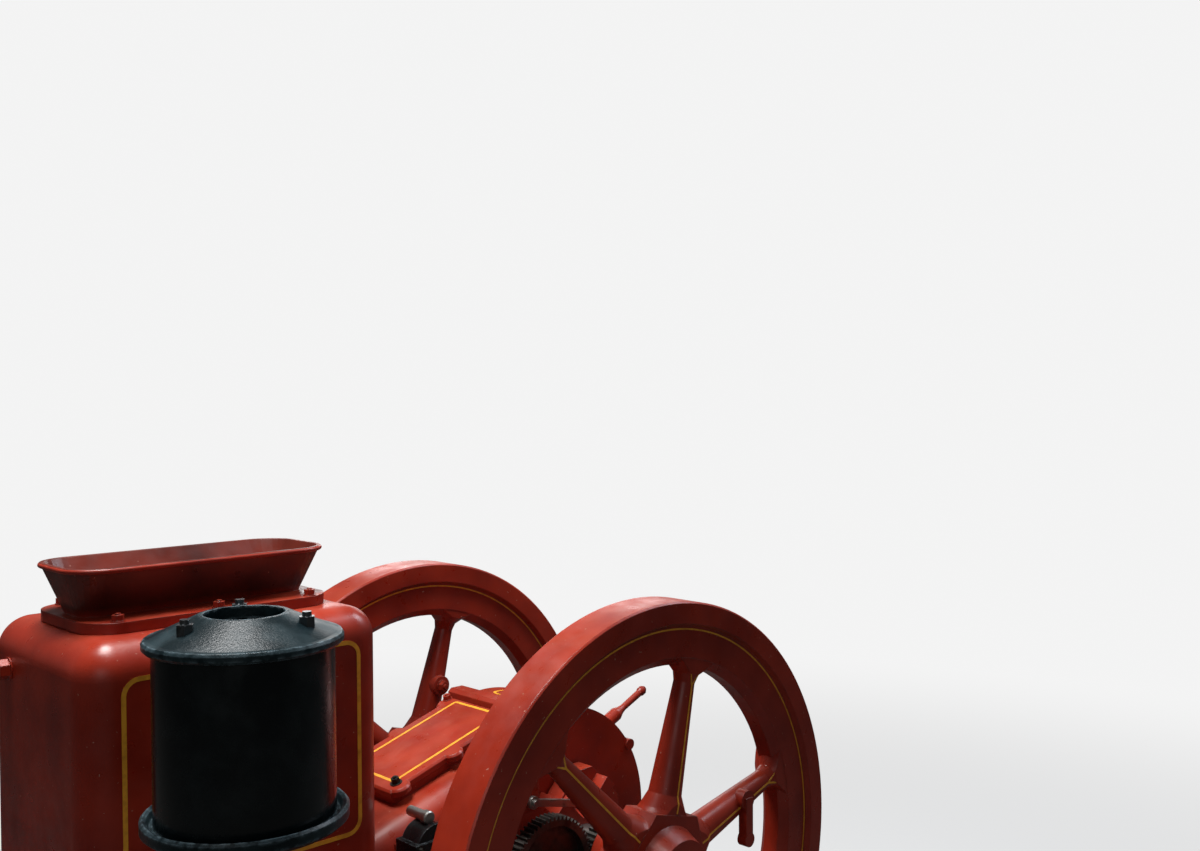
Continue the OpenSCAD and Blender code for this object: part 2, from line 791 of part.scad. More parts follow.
module fuel_filler_cap() {
    color(brass) at_axle() {
        rod_y(18, bed_width / 2, bed_width / 2 + 18, foot_x0 + 260, -190);
        rod_y(25, bed_width / 2 + 18, bed_width / 2 + 34, foot_x0 + 260, -190);
    }
}

module magneto() {
    long = 70;
    deep = 45;
    low = 14;
    high = 112;
    color(pot_black) at_axle() {
        block([magneto_x, magneto_y - deep, low], [magneto_x + long, magneto_y, high - 20]);
        rod_y(30, magneto_y - deep + 4, magneto_y - 4, magneto_x + long / 2, high - 30);
        // Trip rod
        rod_x(6, magneto_x + long - 8, magneto_x + long + 26, magneto_y - deep / 2, high - 26);
    }
}

module magneto_bracket() {
    color(iron_red) at_axle() {
        block([magneto_x + 4, magneto_y, 20], [magneto_x + 66, -bed_width / 2, 80]);
    }
}

module cylinder_oiler() {
    color(brass) at_axle() translate([oiler_x, 0, deck_z(oiler_x) + oiler_z]) rotate_extrude()
        polygon([[0, 0], [6, 0], [6, 26], [20, 30], [20, 36], [18, 36], [18, 78], [20, 78],
                 [20, 86], [8, 90], [5, 104], [0, 104]]);
}

module drain_cock() {
    color(brass) at_axle() translate([cock_x, cock_y, cock_z]) {
        rod_y(7, 0, 34);
        rod_y(11, 8, 22);
        translate([0, 15, 0]) cylinder(r = 4, h = 26);
        rod_x(3.5, -14, 14, 15, 24);
    }
}

// Shape of one crank web: boss, pin eye and balance weight
module crank_web(y0, y1) {
    boss = 36;
    weight_r = 108;
    rod_y(boss, y0, y1);
    rod_y(boss - 2, y0, y1, -throw_r, 0);
    block([-throw_r, y0, -boss + 4], [0, y1, boss - 4]);
    intersection() {
        rod_y(weight_r, y0, y1);
        block([20, y0, -80], [weight_r, y1, 80]);
    }
}

// Key bed at the top of the shaft, on one side
module key_space(side) {
    on_side(side)
        block([-key_size / 2, -key_end, shaft_r - key_size / 2],
              [key_size / 2, -hub_in - 20, shaft_r + key_size / 2]);
}

module crankshaft() {
    pin_r = 27;
    color(steel) at_axle() difference() {
        union() {
            for (s = [0, 1]) on_side(s) {
                rod_y(shaft_r, -seat_start + seat_relief, -crank_web_in);
                // Pulley seat behind a narrow relief
                rod_y(seat_d / 2 - 1, -seat_start - 1, -seat_start + seat_relief + 1);
                rod_y(seat_d / 2, -shaft_reach, -seat_start);
                crank_web(-crank_web_out, -crank_web_in);
            }
            rod_y(pin_r, -crank_web_in - 1, crank_web_in + 1, -throw_r, 0);
        }
        for (s = [0, 1]) key_space(s);
    }
}

module flywheel_key(side) {
    color(steel) at_axle() key_space(side);
}

module rim() {
    half = rim_width / 2;
    face = half - rim_recess;
    open_r = rim_opening_d / 2;
    bevel = 2.5;
    edge = [[wheel_r - bevel, half], [wheel_r - rim_band, half], [wheel_r - rim_band - 4, face],
            [open_r, face], [open_r - rim_crown, face / 2]];
    mirrored = [for (i = [len(edge) - 1:-1:0]) [edge[i][0], -edge[i][1]]];
    rotate([90, 0, 0]) rotate_extrude($fn = 128)
        polygon(concat([[wheel_r, half - bevel]], edge, mirrored, [[wheel_r, -half + bevel]]));
}

// One spoke along Z from the hub, with its flares at the web and the rim
module spoke() {
    root = 30;
    out = rim_opening_d / 2;
    slim = spoke_tip_d / 2;
    side = rim_width / 2 - rim_recess - 1;
    rim_shift = spoke_y - rim_mid;
    translate([0, 0, root]) cylinder(d1 = spoke_root_d, d2 = spoke_tip_d, h = out - root - 4);
    intersection() {
        translate([-60, -web_half + 1, 60]) cube([120, 2 * web_half - 2, 60]);
        rotate_extrude() polygon([[0, 62], [46, 62], [33, 84], [spoke_root_d / 2 - 6, 108], [0, 108]]);
    }
    intersection() {
        translate([-60, rim_shift - side, out - 60]) cube([120, 2 * side, 64]);
        rotate_extrude() polygon([[0, out - 44], [slim, out - 44], [slim + 5, out - 24],
                                  [spoke_flare / 3, out - 10], [spoke_flare / 2, out + 2], [0, out + 2]]);
    }
}

module flywheel(side) {
    web_face = spoke_y + web_half;
    color(iron_red) at_axle() on_side(side) difference() {
        union() {
            translate([0, -rim_mid, 0]) rim();
            translate([0, -spoke_y, 0]) {
                for (i = [0:spokes - 1]) rotate([0, -spoke_angle - i * 360 / spokes, 0])
                    rotate([0, 90, 0]) spoke();
                // Six-sided web at the hub, a flat facing each spoke
                rotate([0, -spoke_angle - 30, 0]) rotate([90, 0, 0])
                    translate([0, 0, -web_half])
                        cylinder(d = hub_web / cos(30), h = 2 * web_half, $fn = 6);
            }
            // Hub boss, tapered on the outer side
            rod_y(hub_end_d / 2, -spoke_y, -hub_in);
            translate([0, -web_face + 1, 0]) rotate([90, 0, 0])
                cylinder(d1 = hub_d, d2 = hub_end_d, h = hub_out - web_face + 1);
            // Round boss on the inner side of the plain wheel's upright spoke
            if (side > 0) rotate([0, -spoke_angle - 60, 0]) rod_y(17, -spoke_y, -spoke_y + 28, 165, 0);
        }
        rod_y(shaft_r + running_gap, -hub_out - 1, -hub_in + 1);
        key_space(0);
    }
}

// Lug on the front of a spoke with the weight's arm hanging from it
module governor_weight(angle) {
    front = -26;
    back = -9;
    arm = 8;
    drop = 60;
    color(iron_red) at_axle() translate([0, -spoke_y, 0]) rotate([0, -angle, 0]) difference() {
        translate([weight_at, 0, 6]) {
            rod_y(15, front, back);
            rotate([0, spoke_angle, 0]) {
                block([-arm, front - 3, -drop], [arm, front + 12, 4]);
                rod_y(arm + 3, front - 3.5, front + 12.5, 0, -drop);
            }
        }
        rod_x(spoke_flare / 5, 0, rim_opening_d / 2);
    }
}

skid(-1);  // skid_gear_side
skid(1);  // skid_plain_side
cross_timber_at(-1);  // cross_timber_head_end
cross_timber_at(1);  // cross_timber_crank_end
engine_bed();
bearing_cap(0);  // bearing_cap_gear_side
bearing_cap(1);  // bearing_cap_plain_side
water_hopper();
hopper_funnel();
crank_cover();
crank_hood();
hood_handle();
cylinder_head();
rocker_bracket();
rocker_arm();
exhaust_valve();
intake_valve_cage();
push_rod();
push_rod_guide();
governor_lever();
governor_bracket();
cam_gear_stud();
exhaust_elbow();
pot_base();
pot_drum();
pot_lid();
pot_studs();
fuel_mixer();
fuel_pipe();
fuel_filler_cap();
magneto();
magneto_bracket();
cylinder_oiler();
drain_cock();
crankshaft();
flywheel(0);  // flywheel_gear_side
flywheel(1);  // flywheel_plain_side
crank_pinion();
governor_weight(spoke_angle);  // governor_weight_upper
governor_weight(spoke_angle + 180);  // governor_weight_lower
flywheel_key(0);  // flywheel_key_gear_side
flywheel_key(1);  // flywheel_key_plain_side
cam_gear();
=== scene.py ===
# Hopper-cooled stationary engine: finishes, paint lines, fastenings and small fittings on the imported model.
import json
import math

import bpy
import bmesh
from mathutils import Matrix, Vector


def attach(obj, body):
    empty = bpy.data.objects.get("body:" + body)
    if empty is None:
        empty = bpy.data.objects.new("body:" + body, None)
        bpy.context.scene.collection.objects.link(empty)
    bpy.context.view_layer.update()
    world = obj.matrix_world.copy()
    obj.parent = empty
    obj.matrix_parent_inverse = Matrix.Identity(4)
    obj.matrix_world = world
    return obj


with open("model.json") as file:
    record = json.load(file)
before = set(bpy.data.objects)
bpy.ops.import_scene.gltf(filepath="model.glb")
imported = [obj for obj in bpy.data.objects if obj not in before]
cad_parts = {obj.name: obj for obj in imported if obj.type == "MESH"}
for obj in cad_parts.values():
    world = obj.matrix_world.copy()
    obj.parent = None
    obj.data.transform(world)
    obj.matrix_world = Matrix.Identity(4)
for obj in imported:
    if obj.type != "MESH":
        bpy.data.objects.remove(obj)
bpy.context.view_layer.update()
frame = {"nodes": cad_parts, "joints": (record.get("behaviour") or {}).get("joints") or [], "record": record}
nodes = frame["nodes"]
mm = 0.001
axle = Vector(next(j for j in frame["joints"] if j["name"] == "crank_turn")["pos_m"])
bothSides = ((-1, "gear"), (1, "plain"))  # the way along Y and its name
print("frame loaded:", len(nodes), "pieces")


def at(x, y, z):
    # a place given in millimetres from the crank axle
    return axle + Vector((x, y, z)) * mm


# Camera, at the height and angle of somebody's eye beside the head end
cameraSetup = {
    "place": (-1242.3, -1435.4, 672.8),  # mm from the crank axle
    "yaw": 44.85,  # degrees from +Y towards +X
    "pitch": -1.39,
    "roll": -0.27,
    "lens": 35.72,
    "sensor": 36.0,
}


def makeCamera(setup):
    yaw, pitch, roll = (math.radians(setup[k]) for k in ("yaw", "pitch", "roll"))
    level = Vector((math.sin(yaw), math.cos(yaw), 0))
    right = Vector((math.cos(yaw), -math.sin(yaw), 0))
    ahead = level * math.cos(pitch) + Vector((0, 0, math.sin(pitch)))
    over = right.cross(ahead)
    cameraRight = right * math.cos(roll) + over * math.sin(roll)
    cameraUp = over * math.cos(roll) - right * math.sin(roll)
    data = bpy.data.cameras.new("camera")
    data.lens = setup["lens"]
    data.sensor_width = setup["sensor"]
    camera = bpy.data.objects.new("camera", data)
    bpy.context.scene.collection.objects.link(camera)
    turn = Matrix((cameraRight, cameraUp, -ahead)).transposed().to_4x4()
    camera.matrix_world = Matrix.Translation(at(*setup["place"])) @ turn
    bpy.context.scene.camera = camera


makeCamera(cameraSetup)
print("camera set")


# Node trees
def toLinear(hexColour):
    # sRGB hex to the linear colour that shaders take
    raw = [int(hexColour[i:i + 2], 16) / 255 for i in (1, 3, 5)]
    return [c / 12.92 if c <= 0.04045 else ((c + 0.055) / 1.055) ** 2.4 for c in raw] + [1.0]


def addNode(tree, kind, settings=None):
    # lower case names are the node's own settings, other names and numbers are its inputs:
    # there a socket is linked, a hex colour is made linear, and any other value is set
    node = tree.nodes.new(kind)
    for key, value in (settings or {}).items():
        if isinstance(key, str) and key[0].islower():
            setattr(node, key, value)
        elif isinstance(value, bpy.types.NodeSocket):
            tree.links.new(value, node.inputs[key])
        elif isinstance(value, str) and value.startswith("#"):
            node.inputs[key].default_value = toLinear(value)
        else:
            node.inputs[key].default_value = value
    return node


def startMaterial(name):
    material = bpy.data.materials.new(name)
    material.use_nodes = True
    tree = material.node_tree
    shader = tree.nodes["Principled BSDF"]
    place = addNode(tree, "ShaderNodeTexCoord")
    return material, tree, shader, place


def blotches(tree, place, size, low=0.0, high=1.0, detail=3.0, stretch=(1, 1, 1)):
    # soft mask from 0 to 1 with patches of about that size in mm, longer where stretch is small
    scale = [s / (size * mm) for s in stretch]
    mapped = addNode(tree, "ShaderNodeMapping", {"Vector": place.outputs["Object"], "Scale": scale})
    noise = addNode(tree, "ShaderNodeTexNoise", {"Vector": mapped.outputs[0], "Scale": 1.0, "Detail": detail})
    return addNode(tree, "ShaderNodeMapRange",
                   {"Value": noise.outputs["Fac"], "From Min": low, "From Max": high}).outputs["Result"]


edgeLook = {"samples": 4, "open": 0.98, "sharp": 0.8}  # how well the rounded and the real face agree


def wornEdges(tree, radius, patches):
    # mask of the edges sharper than the radius in mm, where the patches are too
    soft = addNode(tree, "ShaderNodeBevel", {"samples": edgeLook["samples"], "Radius": radius * mm})
    hard = addNode(tree, "ShaderNodeNewGeometry")
    match = addNode(tree, "ShaderNodeVectorMath",
                    {"operation": "DOT_PRODUCT", 0: soft.outputs[0], 1: hard.outputs["Normal"]})
    edges = addNode(tree, "ShaderNodeMapRange",
                    {"Value": match.outputs["Value"], "From Min": edgeLook["open"], "From Max": edgeLook["sharp"]})
    return addNode(tree, "ShaderNodeMath",
                   {"operation": "MULTIPLY", 0: edges.outputs["Result"], 1: patches}).outputs[0]


def layered(tree, colour, coats):
    # a colour with others over it, each where its mask is: hex colours or sockets
    # (inputs 6 and 7 and output 2 are the Mix node's colours)
    for mask, over in coats:
        colour = addNode(tree, "ShaderNodeMix",
                         {"data_type": "RGBA", 0: mask, 6: colour, 7: over}).outputs[2]
    return colour


def relief(tree, shader, height, depth, edge):
    # surface of that depth in mm, over edges rounded by that radius in mm
    soft = addNode(tree, "ShaderNodeBevel", {"samples": edgeLook["samples"], "Radius": edge * mm})
    bumps = addNode(tree, "ShaderNodeBump", {"Height": height, "Normal": soft.outputs[0],
                                             "Strength": 1.0, "Distance": depth * mm})
    tree.links.new(bumps.outputs[0], shader.inputs["Normal"])


# Red paint: patterns in mm, the same on every red casting
redPaint = {
    "cloud": {"size": 90, "low": 0.35, "high": 0.7},
    "wear": {"size": 14, "low": 0.5, "high": 0.62, "detail": 5.0},
    "wearRadius": 3.0,
    "worn": "#5a2a20",
    "chip": {"size": 4.5, "low": 0.745, "high": 0.755, "detail": 2.0},
    "chipped": "#b98574",
    "dust": {"size": 40, "low": 0.3, "high": 0.7, "detail": 6.0},
    "dustFrom": 0.6,  # lies on faces that look up by more than this
    "mostDust": 0.3,
    "dusty": "#b0563a",
    "gloss": {"size": 25, "low": 0.3, "high": 0.7, "detail": 5.0},
    "roughness": (0.26, 0.44),
    "ior": 1.46,
}
bodyRed = {"body": "#a5301c", "dark": "#7f2013", "grit": 2.5, "depth": 0.12, "edge": 2.0}
wheelRed = {"body": "#a7321e", "dark": "#872314", "grit": 2.0, "depth": 0.08, "edge": 2.0}
roughRed = {"body": "#8c2c1c", "dark": "#581a10", "grit": 3.5, "depth": 0.35, "edge": 1.5}
# oil and dust on the funnel, from just above its flange: heights in m, colours
funnelGrime = {"clean": 0.944, "full": 0.953, "dry": "#74291c", "oily": "#401811"}


def redEnamel(name, body, dark, grit, depth, edge, grime=None):
    # gloss enamel brushed over a rough casting: deep red, orange peel, rubbed and chipped at the edges,
    # with grime above a height if asked
    material, tree, shader, place = startMaterial(name)
    cloudy, chips, dust, gloss = (blotches(tree, place, **redPaint[k]) for k in ("cloud", "chip", "dust", "gloss"))
    normal = addNode(tree, "ShaderNodeSeparateXYZ", {0: place.outputs["Normal"]})
    topUp = addNode(tree, "ShaderNodeMapRange",
                    {"Value": normal.outputs["Z"], "From Min": redPaint["dustFrom"], "From Max": 1.0,
                     "To Max": redPaint["mostDust"]})
    dusty = addNode(tree, "ShaderNodeMath", {"operation": "MULTIPLY", 0: topUp.outputs["Result"], 1: dust})
    coats = [(cloudy, dark), (dusty.outputs[0], redPaint["dusty"])]
    if grime:
        height = addNode(tree, "ShaderNodeSeparateXYZ", {0: place.outputs["Object"]})
        dirty = addNode(tree, "ShaderNodeMapRange",
                        {"Value": height.outputs["Z"], "From Min": grime["clean"], "From Max": grime["full"]})
        coats.append((dirty.outputs["Result"], layered(tree, grime["dry"], [(cloudy, grime["oily"])])))
    worn = wornEdges(tree, redPaint["wearRadius"], blotches(tree, place, **redPaint["wear"]))
    coats += [(chips, redPaint["chipped"]), (worn, redPaint["worn"])]
    tree.links.new(layered(tree, body, coats), shader.inputs["Base Color"])
    glossy, dull = redPaint["roughness"]
    rough = addNode(tree, "ShaderNodeMapRange", {"Value": gloss, "To Min": glossy, "To Max": dull})
    tree.links.new(rough.outputs["Result"], shader.inputs["Roughness"])
    relief(tree, shader, blotches(tree, place, grit, detail=4.0), depth, edge)
    shader.inputs["IOR"].default_value = redPaint["ior"]
    return material


linePaint = {
    "thin": {"size": 12, "low": 0.45, "high": 0.8, "detail": 4.0},
    "full": "#f2ab35",
    "aged": "#c4822a",
    "roughness": 0.38,
    "ior": 1.5,
}


def lineEnamel(name):
    # signwriter's yellow enamel, ruled by hand: thin, a little uneven and aged
    material, tree, shader, place = startMaterial(name)
    thin = blotches(tree, place, **linePaint["thin"])
    colour = layered(tree, linePaint["full"], [(thin, linePaint["aged"])])
    tree.links.new(colour, shader.inputs["Base Color"])
    shader.inputs["Roughness"].default_value = linePaint["roughness"]
    shader.inputs["IOR"].default_value = linePaint["ior"]
    return material


# Black paint: patterns in mm, and for each piece its colours, the roughness where it is glossy, its relief,
# its shine and the radius of its pale edges: worn to the metal on the drum and case, and on the lid and pot base a
# wide one whose pale colour is a painted highlight along the rim
blackPaint = {
    "patch": {"size": 35, "low": 0.4, "high": 0.75, "detail": 6.0},
    "rubAndHighlightPatch": {"size": 8, "low": 0.4, "high": 0.6, "detail": 4.0},
    "duller": 0.22,  # added to the roughness where the paint is dry
    "edge": 1.2,
}
drumBlack = {"body": "#0a1113", "dry": "#10191b", "bareAndHighlight": "#6b7679", "rough": 0.18, "grit": 1.6,
             "depth": 0.03, "shine": 0.38, "rubbedAndHighlightRadius": 2.5}
# lid and pot base: the pale blue grey at edges within 6 mm is a painted highlight along the rim, not wear
lidBlack = {"body": "#0d1b1f", "dry": "#24363b", "bareAndHighlight": "#8299a3", "rough": 0.3, "grit": 2.6,
            "depth": 0.3, "shine": 0.22, "rubbedAndHighlightRadius": 6}
caseBlack = {"body": "#0d0d0e", "dry": "#171718", "bareAndHighlight": "#6b7679", "rough": 0.22, "grit": 1.5,
             "depth": 0.04, "shine": 0.38, "rubbedAndHighlightRadius": 2.5}


def heatBlack(name, body, dry, bareAndHighlight, rough, grit, depth, shine, rubbedAndHighlightRadius):
    # heat-resisting black paint on sheet and casting: cool black that greys where it is dry, and pales at sharp
    # edges: worn metal on the drum and case, a painted highlight along the rim of the lid and pot base
    material, tree, shader, place = startMaterial(name)
    patches = blotches(tree, place, **blackPaint["patch"])
    # pale edges: worn metal on the drum and case, a painted highlight on the lid and pot base
    worn = wornEdges(tree, rubbedAndHighlightRadius, blotches(tree, place, **blackPaint["rubAndHighlightPatch"]))
    colour = layered(tree, body, [(patches, dry), (worn, bareAndHighlight)])
    tree.links.new(colour, shader.inputs["Base Color"])
    shader.inputs["Specular IOR Level"].default_value = shine
    gloss = addNode(tree, "ShaderNodeMapRange",
                    {"Value": patches, "To Min": rough, "To Max": rough + blackPaint["duller"]})
    tree.links.new(gloss.outputs["Result"], shader.inputs["Roughness"])
    relief(tree, shader, blotches(tree, place, grit, detail=4.0), depth, blackPaint["edge"])
    return material


# Steel: patterns in mm, and for each finish its colours, its roughness and how much of it is stained
steelSkin = {
    "oil": {"size": 22, "detail": 5.0},
    "oilFrom": 0.62,
    "oilFull": 0.8,
    "underOil": 0.35,  # how metallic dried oil looks
    "marks": {"size": 0.9, "detail": 2.0},  # tool marks are finer, this is as coarse as shows
    "depth": 0.02,
    "edge": 0.6,
}
brightSteel = {"bright": "#a8a7a2", "stain": "#5b4f3e", "rough": 0.34, "stained": 0.05}
gearIron = {"bright": "#5d5b57", "stain": "#231d17", "rough": 0.42, "stained": 0.16}
blackSteel = {"bright": "#3a3936", "stain": "#1b1815", "rough": 0.45, "stained": 0.1}
rubbedNuts = {"bright": "#74787b", "stain": "#232627", "rough": 0.28, "stained": 0.12}


def machinedSteel(name, bright, stain, rough, stained):
    # turned and milled steel kept under oil: grey, brown where the oil has dried
    material, tree, shader, place = startMaterial(name)
    oily = blotches(tree, place, low=steelSkin["oilFrom"] - stained, high=steelSkin["oilFull"] - stained,
                    **steelSkin["oil"])
    tree.links.new(layered(tree, bright, [(oily, stain)]), shader.inputs["Base Color"])
    clean = addNode(tree, "ShaderNodeMapRange", {"Value": oily, "To Min": 1.0, "To Max": steelSkin["underOil"]})
    tree.links.new(clean.outputs["Result"], shader.inputs["Metallic"])
    shader.inputs["Roughness"].default_value = rough
    relief(tree, shader, blotches(tree, place, **steelSkin["marks"]), steelSkin["depth"], steelSkin["edge"])
    return material


brassSkin = {
    "brown": {"size": 16, "low": 0.48, "high": 0.75, "detail": 5.0},
    "bright": "#c9a45c",
    "dull": "#7a5a2c",
    "roughness": (0.24, 0.5),
    "sand": {"size": 1.2},  # the casting's grain is finer, this is as coarse as shows
    "depth": 0.03,
    "edge": 0.8,
}
# glass wall of the oiler: heights in m, the oil behind it, and its roughness as a share of the brass's
oilerGlass = {"low": 0.667, "high": 0.7076, "oil": "#4a2c0c", "smooth": 0.2}


def dullBrass(name, glass=None):
    # cast and turned brass, polished now and then: yellow with brown in the hollows, and between the two
    # heights of the glass a smooth wall with dark amber oil behind it
    material, tree, shader, place = startMaterial(name)
    brown = blotches(tree, place, **brassSkin["brown"])
    coats = [(brown, brassSkin["dull"])]
    smooth, dull = brassSkin["roughness"]
    rough = addNode(tree, "ShaderNodeMapRange", {"Value": brown, "To Min": smooth, "To Max": dull})
    shader.inputs["Metallic"].default_value = 1.0
    if glass:
        height = addNode(tree, "ShaderNodeSeparateXYZ", {0: place.outputs["Object"]}).outputs["Z"]
        above = addNode(tree, "ShaderNodeMath", {"operation": "GREATER_THAN", 0: height, 1: glass["low"]})
        below = addNode(tree, "ShaderNodeMath", {"operation": "LESS_THAN", 0: height, 1: glass["high"]})
        wall = addNode(tree, "ShaderNodeMath",
                       {"operation": "MULTIPLY", 0: above.outputs[0], 1: below.outputs[0]}).outputs[0]
        coats.append((wall, glass["oil"]))
        metal = addNode(tree, "ShaderNodeMath", {"operation": "SUBTRACT", 0: 1.0, 1: wall})
        tree.links.new(metal.outputs[0], shader.inputs["Metallic"])
        share = addNode(tree, "ShaderNodeMapRange", {"Value": wall, "To Min": 1.0, "To Max": glass["smooth"]})
        rough = addNode(tree, "ShaderNodeMath",
                        {"operation": "MULTIPLY", 0: rough.outputs[0], 1: share.outputs[0]})
    tree.links.new(layered(tree, brassSkin["bright"], coats), shader.inputs["Base Color"])
    tree.links.new(rough.outputs[0], shader.inputs["Roughness"])
    relief(tree, shader, blotches(tree, place, **brassSkin["sand"]), brassSkin["depth"], brassSkin["edge"])
    return material


# Timber: patterns in mm, stretched along X, where the runners lie
oldOak = {
    "grain": {"size": 4, "low": 0.3, "high": 0.7, "detail": 6.0, "stretch": (0.03, 1, 1)},
    "rings": {"size": 16, "low": 0.35, "high": 0.65, "detail": 2.0, "stretch": (0.05, 1, 1)},
    "cracks": {"size": 9, "low": 0.66, "high": 0.72, "detail": 6.0, "stretch": (0.02, 1, 1)},
    "oil": {"size": 130, "low": 0.5, "high": 0.72, "detail": 4.0},
    "pale": "#7b6549",
    "brown": "#5a4632",
    "ring": "#463524",
    "crack": "#1f1710",
    "oiled": "#3a2c1f",
    "roughness": 0.78,
    "depth": 0.9,
    "edge": 3.0,
}


def sawnTimber(name):
    # old sawn oak with oil soaked in: grey brown, long grain, dark cracks
    material, tree, shader, place = startMaterial(name)
    grain, rings, cracks, oil = (blotches(tree, place, **oldOak[k]) for k in ("grain", "rings", "cracks", "oil"))
    ringed = addNode(tree, "ShaderNodeMath", {"operation": "MULTIPLY", 0: rings, 1: grain})
    colour = layered(tree, oldOak["pale"], [(grain, oldOak["brown"]), (ringed.outputs[0], oldOak["ring"]),
                                            (cracks, oldOak["crack"]), (oil, oldOak["oiled"])])
    tree.links.new(colour, shader.inputs["Base Color"])
    shader.inputs["Roughness"].default_value = oldOak["roughness"]
    hollow = addNode(tree, "ShaderNodeMath", {"operation": "SUBTRACT", 0: grain, 1: cracks})
    relief(tree, shader, hollow.outputs[0], oldOak["depth"], oldOak["edge"])
    return material


finishes = {
    "red": redEnamel("redEnamel", **bodyRed),
    "wheelRed": redEnamel("wheelRedEnamel", **wheelRed),
    "castRed": redEnamel("roughCastRed", **roughRed),
    "grimyRed": redEnamel("grimyRedEnamel", **bodyRed, grime=funnelGrime),
    "line": lineEnamel("yellowLineEnamel"),
    "drumBlack": heatBlack("glossBlackSheet", **drumBlack),
    "lidBlack": heatBlack("dryBlackCasting", **lidBlack),
    "boxBlack": heatBlack("blackStovedCase", **caseBlack),
    "steel": machinedSteel("oiledSteel", **brightSteel),
    "gearSteel": machinedSteel("oilyGearIron", **gearIron),
    "darkSteel": machinedSteel("blackenedSteel", **blackSteel),
    "nutSteel": machinedSteel("rubbedBlackNuts", **rubbedNuts),
    "brass": dullBrass("dullBrass"),
    "oiler": dullBrass("brassWithOilGlass", oilerGlass),
    "timber": sawnTimber("sawnTimber"),
}
print("materials made")

# Finish of each slot in the record, and of the pieces that differ from their slot
slotFinish = {
    "timber": "timber", "red_paint": "red", "cast_parts": "castRed", "pot_black": "drumBlack",
    "magneto_black": "boxBlack", "bare_steel": "steel", "brass": "brass", "shaft_steel": "steel",
    "wheel_red": "wheelRed", "governor_red": "wheelRed", "gear_steel": "gearSteel",
}
nodeFinish = {
    "hopper_funnel": "grimyRed", "pot_lid": "lidBlack", "pot_base": "lidBlack", "crank_pinion": "gearSteel",
    "pot_studs": "nutSteel", "cylinder_oiler": "oiler",
}
for part in frame["record"]["subparts"]:
    finish = nodeFinish.get(part["node"], slotFinish[part["material_slot"]])
    for slot in nodes[part["node"]].material_slots:
        slot.material = finishes[finish]
print("CAD pieces finished")


# Meshes
def meshObject(name, vertices, faces, finish, body):
    mesh = bpy.data.meshes.new(name)
    mesh.from_pydata([tuple(v) for v in vertices], [], faces)
    mesh.materials.append(finishes[finish])
    built = bpy.data.objects.new(name, mesh)
    bpy.context.scene.collection.objects.link(built)
    shape = bmesh.new()
    shape.from_mesh(mesh)
    bmesh.ops.remove_doubles(shape, verts=shape.verts, dist=mm / 1000)  # within a micrometre
    bmesh.ops.recalc_face_normals(shape, faces=shape.faces)
    shape.to_mesh(mesh)
    shape.free()
    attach(built, body)
    return built


def inWorld(points):
    return [at(*p) for p in points]


def ribbon(path, ups, width, proud, sunk, closed=True):
    # vertices and faces of a flat strip along a path in mm, from below to proud of the surface under it
    narrowest = 0.6  # keeps the corner of a tight bend short
    points = [Vector(p) for p in path]
    count = len(points)
    vertices, faces = [], []
    for i, point in enumerate(points):
        before = points[(i - 1) % count] if closed or i else point
        after = points[(i + 1) % count] if closed or i < count - 1 else point
        up = Vector(ups[i]).normalized()
        side = (after - before).normalized().cross(up).normalized()
        widen = 1.0
        if after != point and before != point:
            cosine = (after - point).normalized().dot((point - before).normalized())
            widen = 1 / max(narrowest, math.sqrt((1 + cosine) / 2))
        half = side * width / 2 * widen
        vertices += [point - half - up * sunk, point + half - up * sunk,
                     point + half + up * proud, point - half + up * proud]
    for i in range(count if closed else count - 1):
        a, b = 4 * i, 4 * ((i + 1) % count)
        for k in range(4):
            n = (k + 1) % 4
            faces.append((a + k, a + n, b + n, b + k))
    if not closed:
        faces += [(3, 2, 1, 0), tuple(4 * (count - 1) + k for k in range(4))]
    return vertices, faces


def roundedLoop(left, low, right, high, radius, steps):
    # corner points of a rectangle with round corners, in its own plane
    loop = []
    for x, y, start in ((right - radius, high - radius, 0), (left + radius, high - radius, 90),
                        (left + radius, low + radius, 180), (right - radius, low + radius, 270)):
        for i in range(steps + 1):
            a = math.radians(start + 90 * i / steps)
            loop.append((x + radius * math.cos(a), y + radius * math.sin(a)))
    return loop


def dense(loop, step):
    # the same closed path with extra points where a straight run is longer than the step
    path = []
    for i, spot in enumerate(loop):
        first, second = Vector(spot), Vector(loop[(i + 1) % len(loop)])
        pieces = max(1, round((second - first).length / step))
        path += [first.lerp(second, k / pieces) for k in range(pieces)]
    return path


def joined(meshes):
    # several lists of vertices and faces as one
    vertices, faces = [], []
    for points, loops in meshes:
        faces += [tuple(len(vertices) + i for i in face) for face in loops]
        vertices += points
    return vertices, faces


# Paint lines: sizes in mm from the axle
hopperLine = {
    "left": -700, "right": -398.5, "low": 120, "high": 364, "face": 150, "radius": 18, "steps": 6,
    "width": 5.5, "proud": 0.25, "sunk": 0.05,
}
for side, label in bothSides:
    loop = roundedLoop(hopperLine["left"], hopperLine["low"], hopperLine["right"], hopperLine["high"],
                       hopperLine["radius"], hopperLine["steps"])
    path = [(x, side * hopperLine["face"], z) for x, z in loop]
    strip, faces = ribbon(path, [(0, side, 0)] * len(path), hopperLine["width"], hopperLine["proud"],
                          hopperLine["sunk"])
    meshObject(f"hopper_line_{label}", inWorld(strip), faces, "line", "frame_body")

deck = {"x": -75, "z": 170.99, "slope": math.radians(16.7)}
deckUp = Vector((-math.sin(deck["slope"]), 0, math.cos(deck["slope"])))


def onDeck(x, y, up):
    # place in mm from the axle of a point along, across and above the bed's sloping deck
    along = Vector((math.cos(deck["slope"]), 0, math.sin(deck["slope"])))
    return Vector((deck["x"], y, deck["z"])) + along * x + deckUp * up


